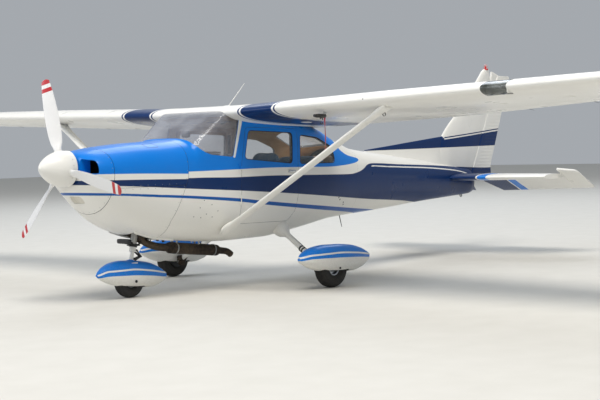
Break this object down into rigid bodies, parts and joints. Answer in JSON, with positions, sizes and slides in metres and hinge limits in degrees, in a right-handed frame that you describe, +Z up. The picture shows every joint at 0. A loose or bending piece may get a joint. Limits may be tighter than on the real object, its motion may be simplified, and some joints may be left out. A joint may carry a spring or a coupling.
{
  "type": "light aircraft",
  "caption": "High-wing light aircraft with braced wings, propeller, cabin with two doors and fixed tricycle gear in wheel fairings.",
  "frame": {"origin": "on the ground, under the middle of the overall length, on the plane of symmetry", "axes": "+X aft along the fuselage, +Y to starboard along the wing, +Z up"},
  "size_m": [8.3356, 10.95, 2.6003],
  "materials": {
    "white_paint": "gloss white paint",
    "blue_paint": "gloss blue paint",
    "navy_paint": "gloss navy paint",
    "tyre_rubber": "matte",
    "bare_aluminium": "satin",
    "engine_iron": "rough",
    "exhaust_steel": "heat-browned",
    "window_acrylic": "clear",
    "cabin_trim": "matte",
    "panel_plastic": "matte",
    "seat_fabric": "woven",
    "beacon_lens": "gloss"
  },
  "bodies": {
    "fuselage": {"cabin_roof": "white_paint", "wing_port": "white_paint", "wing_starboard": "white_paint", "landing_light": "window_acrylic", "wing_strut_port": "white_paint", "wing_strut_starboard": "white_paint", "cabin_shell": "blue_paint", "windshield": "window_acrylic", "rear_side_window_port": "window_acrylic", "rear_side_window_starboard": "window_acrylic", "rear_window": "window_acrylic", "firewall": "bare_aluminium", "baggage_bulkhead": "cabin_trim", "cabin_floor": "cabin_trim", "front_seat_port": "seat_fabric", "front_seat_starboard": "seat_fabric", "rear_bench": "seat_fabric", "instrument_panel": "panel_plastic", "nose_bowl": "blue_paint", "cowl_upper": "blue_paint", "cowl_lower": "white_paint", "engine_block": "engine_iron", "tailcone": "navy_paint", "tailplane_port": "white_paint", "tailplane_starboard": "white_paint", "fin": "white_paint", "beacon": "beacon_lens", "main_gear_leg_port": "white_paint", "main_gear_leg_starboard": "white_paint", "main_fairing_port": "white_paint", "main_fairing_starboard": "white_paint", "nose_strut": "bare_aluminium", "silencer": "exhaust_steel"},
    "propeller": {"spinner": "white_paint", "propeller_blade_1": "white_paint", "propeller_blade_2": "white_paint", "propeller_blade_3": "white_paint"},
    "nose_steering": {"nose_fork": "bare_aluminium", "nose_fairing": "white_paint"},
    "nose_wheel": {"nose_wheel_tyre": "tyre_rubber", "nose_wheel_rim": "bare_aluminium"},
    "main_wheel_port": {"main_wheel_port_tyre": "tyre_rubber", "main_wheel_port_rim": "bare_aluminium"},
    "main_wheel_starboard": {"main_wheel_starboard_tyre": "tyre_rubber", "main_wheel_starboard_rim": "bare_aluminium"},
    "door_port": {"door_port": "blue_paint", "door_window_port": "window_acrylic"},
    "door_starboard": {"door_starboard": "blue_paint", "door_window_starboard": "window_acrylic"},
    "flap_port": {"flap_port": "white_paint"},
    "flap_starboard": {"flap_starboard": "white_paint"},
    "aileron_port": {"aileron_port": "white_paint"},
    "aileron_starboard": {"aileron_starboard": "white_paint"},
    "elevator": {"elevator": "white_paint"},
    "rudder": {"rudder": "white_paint"}
  },
  "joints": [
    {"name": "propeller_spin", "type": "hinge", "parent": "fuselage", "child": "propeller", "pos_m": [-3.89816, 0, 1.355], "axis": [-0.9988, 0, 0.0489], "continuous": true},
    {"name": "nose_steer", "type": "hinge", "parent": "fuselage", "child": "nose_steering", "pos_m": [-3.02216, 0, 0.47], "axis": [0.212, 0, 0.9773], "range_deg": [-30, 30]},
    {"name": "nose_wheel_spin", "type": "hinge", "parent": "nose_steering", "child": "nose_wheel", "pos_m": [-3.07916, 0, 0.172], "axis": [0, 1, 0], "continuous": true},
    {"name": "main_wheel_spin_port", "type": "hinge", "parent": "fuselage", "child": "main_wheel_port", "pos_m": [-1.32516, -1.25, 0.21], "axis": [0, 1, 0], "continuous": true},
    {"name": "main_wheel_spin_starboard", "type": "hinge", "parent": "fuselage", "child": "main_wheel_starboard", "pos_m": [-1.32516, 1.25, 0.21], "axis": [0, 1, 0], "continuous": true},
    {"name": "door_swing_port", "type": "hinge", "parent": "fuselage", "child": "door_port", "pos_m": [-1.95516, -0.559, 1.13], "axis": [0, 0, -1], "range_deg": [0, 75]},
    {"name": "door_swing_starboard", "type": "hinge", "parent": "fuselage", "child": "door_starboard", "pos_m": [-1.95516, 0.559, 1.13], "axis": [0, 0, 1], "range_deg": [0, 75]},
    {"name": "flap_drop_port", "type": "hinge", "parent": "fuselage", "child": "flap_port", "pos_m": [-0.97948, -1.56, 1.58826], "axis": [0, 0.9995, -0.0302], "range_deg": [0, 40]},
    {"name": "flap_drop_starboard", "type": "hinge", "parent": "fuselage", "child": "flap_starboard", "pos_m": [-0.97948, 1.56, 1.58826], "axis": [0, 0.9995, 0.0302], "range_deg": [0, 40]},
    {"name": "aileron_turn_port", "type": "hinge", "parent": "fuselage", "child": "aileron_port", "pos_m": [-1.03564, -3.87, 1.90543], "axis": [0.1129, 0.9928, -0.0411], "range_deg": [-20, 15]},
    {"name": "aileron_turn_starboard", "type": "hinge", "parent": "fuselage", "child": "aileron_starboard", "pos_m": [-1.03564, 3.87, 1.90543], "axis": [-0.1129, 0.9928, 0.0411], "range_deg": [-15, 20]},
    {"name": "elevator_turn", "type": "hinge", "parent": "fuselage", "child": "elevator", "pos_m": [3.18784, 0, 1.04], "axis": [0, 1, 0], "range_deg": [-51, 0]},
    {"name": "rudder_turn", "type": "hinge", "parent": "fuselage", "child": "rudder", "pos_m": [3.14884, 0, 1.07], "axis": [0.4641, 0, 0.8858], "range_deg": [-17, 17]}
  ],
  "couplings": [
    {"joint": "flap_drop_starboard", "follows": "flap_drop_port", "ratio": 1},
    {"joint": "aileron_turn_starboard", "follows": "aileron_turn_port", "ratio": -1}
  ]
}
